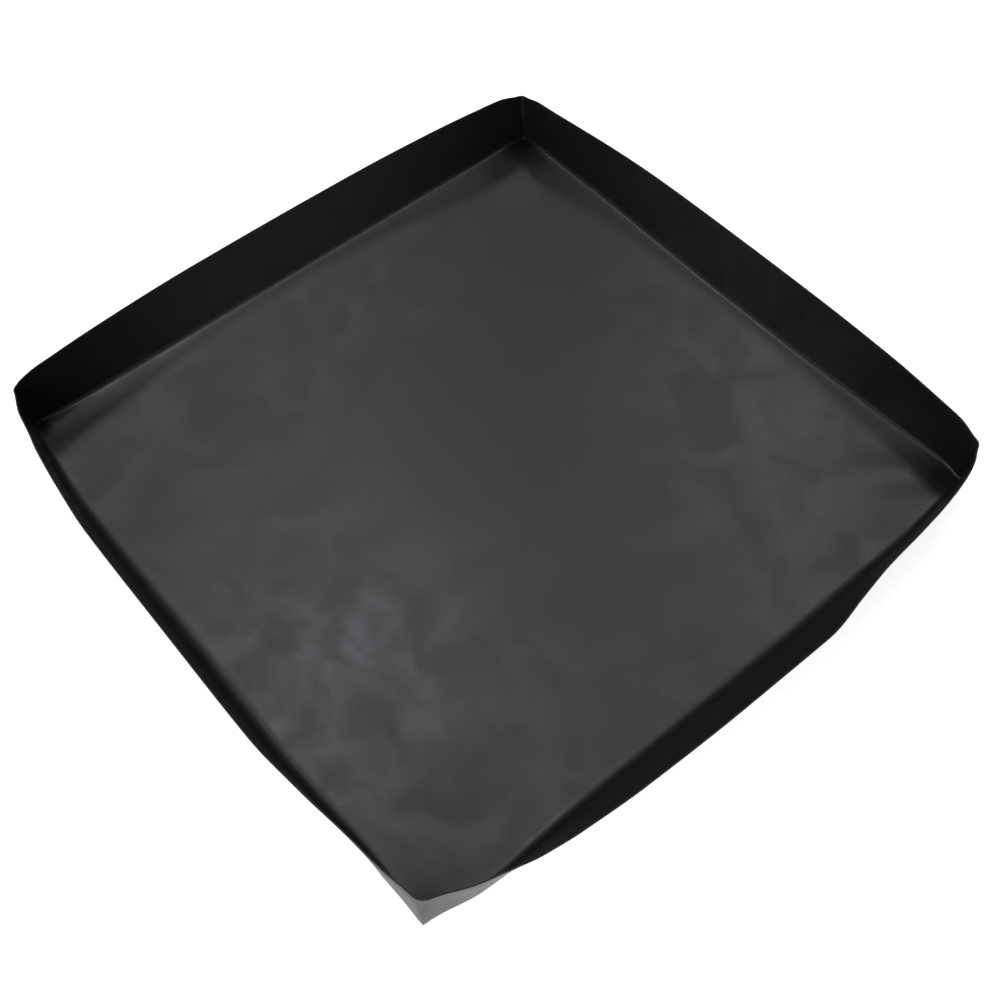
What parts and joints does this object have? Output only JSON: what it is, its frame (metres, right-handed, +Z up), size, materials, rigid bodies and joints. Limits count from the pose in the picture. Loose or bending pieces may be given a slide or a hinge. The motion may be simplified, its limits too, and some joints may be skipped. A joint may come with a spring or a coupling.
{
  "type": "seedling heat mat",
  "caption": "Square tray-form seedling heat mat: thin black sheet folded into low outward-bowed walls, with a sealed heating laminate under its flat floor.",
  "frame": {"origin": "centre of the flat underside of the base sheet, midway between opposite fold lines", "axes": "+Z up out of the tray, -Y the front wall, +X the right wall; the lead block is outside the left wall, towards the back"},
  "size_m": [0.5955, 0.572, 0.0556],
  "materials": {
    "black_sheet": "satin black flexible sheet",
    "base_sheet": "matt black embossed sheet",
    "edge_seal": "welded black margin",
    "insulation_foam": "closed-cell foam",
    "carrier_film": "clear polyester film",
    "carbon_print": "printed carbon ink",
    "copper": "tinned copper foil",
    "moulded_black": "moulded black plastic",
    "steel": "zinc-plated steel",
    "rubber": "black rubber"
  },
  "bodies": {
    "root": {"floor_sheet": "black_sheet", "front_wall": "black_sheet", "right_wall": "black_sheet", "back_wall": "black_sheet", "left_wall": "black_sheet", "front_left_lap": "black_sheet", "front_right_lap": "black_sheet", "back_right_lap": "black_sheet", "back_left_lap": "black_sheet", "base_sheet": "base_sheet", "edge_seal": "edge_seal", "insulation_foam": "insulation_foam", "film_lower": "carrier_film", "film_upper": "carrier_film", "carbon_print": "carbon_print", "front_busbar": "copper", "back_busbar": "copper", "front_lead_strip": "copper", "back_lead_strip": "copper", "lead_block_base": "moulded_black", "lead_block_lid": "moulded_black", "lid_screw_1": "steel", "lid_screw_2": "steel", "crimp_1": "copper", "crimp_2": "copper", "gland_body": "moulded_black", "gland_grommet": "rubber", "gland_nut": "moulded_black"}
  },
  "joints": []
}
